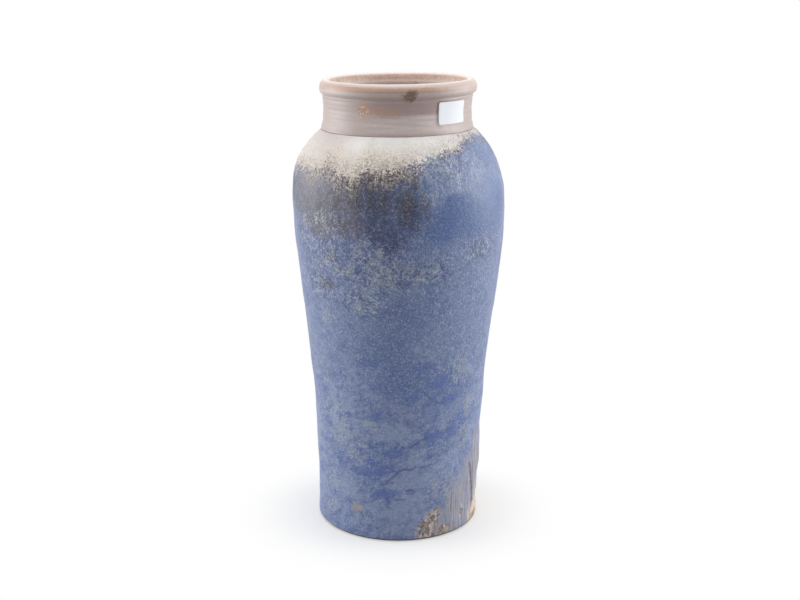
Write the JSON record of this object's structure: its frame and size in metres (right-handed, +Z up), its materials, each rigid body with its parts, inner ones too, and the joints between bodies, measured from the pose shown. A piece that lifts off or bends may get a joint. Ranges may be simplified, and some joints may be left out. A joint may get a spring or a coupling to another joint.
{
  "type": "ceramic vase",
  "caption": "Tall shouldered stoneware vase with a short collar neck, rolled lip, open mouth and mottled blue glaze under a cream shoulder band.",
  "frame": {"origin": "centre of the foot, on the surface the vase stands on", "axes": "+Z up along the turning axis; the front that the picture shows faces -Y, and the label is on the +X side of it"},
  "size_m": [0.1256, 0.1256, 0.27],
  "materials": {
    "foot_clay": "unglazed fired clay, matt",
    "bare_clay": "unglazed fired clay, matt",
    "blue_glaze": "mottled crystalline blue glaze, satin",
    "cream_glaze": "smooth cream glaze, satin",
    "neck_glaze": "thin pinkish grey glaze over throwing rings, satin",
    "liner_glaze": "thin greyish beige liner glaze, satin",
    "label_paper": "blank white paper, matt"
  },
  "bodies": {
    "root": {"foot_ring": "foot_clay", "clay_body": "bare_clay", "neck_collar": "bare_clay", "blue_glaze": "blue_glaze", "cream_glaze": "cream_glaze", "neck_glaze": "neck_glaze", "liner_glaze": "liner_glaze", "paper_label": "label_paper"}
  },
  "joints": []
}
